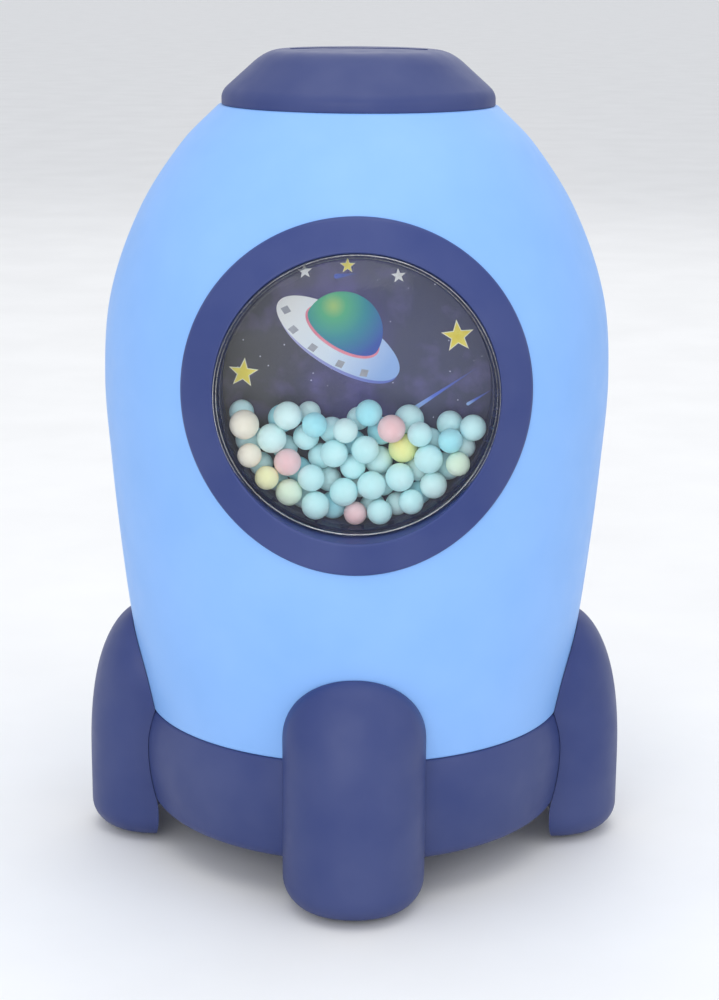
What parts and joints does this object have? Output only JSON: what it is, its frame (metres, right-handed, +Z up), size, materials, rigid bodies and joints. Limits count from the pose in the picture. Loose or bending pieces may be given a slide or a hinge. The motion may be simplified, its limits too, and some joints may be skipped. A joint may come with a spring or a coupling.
{
  "type": "rocket money bank",
  "caption": "Rocket-shaped coin bank on four booster feet, with a round clear window holding loose foam balls and a hinged rear door with a coded dial lock.",
  "frame": {"origin": "on the floor, midway between the four boosters, below the rocket's axis", "axes": "+Z up along the rocket's axis; the porthole faces -Y and the coded door faces +Y"},
  "size_m": [0.1402, 0.1402, 0.2042],
  "materials": {
    "shell_blue": "satin moulded plastic, light blue",
    "navy": "satin moulded plastic, navy",
    "ring_navy": "satin moulded plastic, navy with a violet cast",
    "clear_plastic": "clear polished plastic",
    "printed_card": "printed space scene under a gloss coat",
    "foam": "dull expanded foam in pale blue, pink, yellow and cream",
    "rubber": "dull black",
    "steel": "zinc plated",
    "dial_white": "white moulded plastic",
    "lock_grey": "light grey acetal"
  },
  "bodies": {
    "bank": {"body_shell": "shell_blue", "nose_cap": "navy", "base_cup": "navy", "base_screws": "steel", "booster_front": "navy", "booster_right": "navy", "booster_rear": "navy", "booster_left": "navy", "booster_screws": "steel", "foot_pads": "rubber", "porthole_bezel": "ring_navy", "porthole_lens": "clear_plastic", "porthole_tray": "navy", "porthole_backdrop": "printed_card", "foam_balls": "foam", "porthole_retainer": "navy", "porthole_screws": "steel", "door_frame": "ring_navy", "frame_retainer": "navy", "frame_screws": "steel", "hinge_pin": "steel"},
    "door": {"door_panel": "shell_blue", "index_mark": "dial_white", "friction_washer": "rubber", "lock_bridge": "steel", "lock_screws": "steel"},
    "dial": {"lock_dial": "dial_white", "drive_disc": "lock_grey", "disc_spacers": "lock_grey", "shaft_clip": "steel"},
    "outer_tumbler": {"tumbler_outer": "lock_grey"},
    "inner_tumbler": {"tumbler_inner": "lock_grey"}
  },
  "joints": [
    {"name": "door_hinge", "type": "hinge", "parent": "bank", "child": "door", "pos_m": [0.0335, 0.0585, 0.118], "axis": [0, 0, -1], "range_deg": [0, 105]},
    {"name": "dial_spin", "type": "hinge", "parent": "door", "child": "dial", "pos_m": [0, 0.052, 0.118], "axis": [0, 1, 0], "continuous": true},
    {"name": "outer_tumbler_spin", "type": "hinge", "parent": "door", "child": "outer_tumbler", "pos_m": [0, 0.052, 0.118], "axis": [0, 1, 0], "continuous": true},
    {"name": "inner_tumbler_spin", "type": "hinge", "parent": "door", "child": "inner_tumbler", "pos_m": [0, 0.052, 0.118], "axis": [0, 1, 0], "continuous": true}
  ],
  "couplings": [
    {"joint": "outer_tumbler_spin", "follows": "dial_spin", "ratio": 1},
    {"joint": "inner_tumbler_spin", "follows": "dial_spin", "ratio": 1}
  ]
}
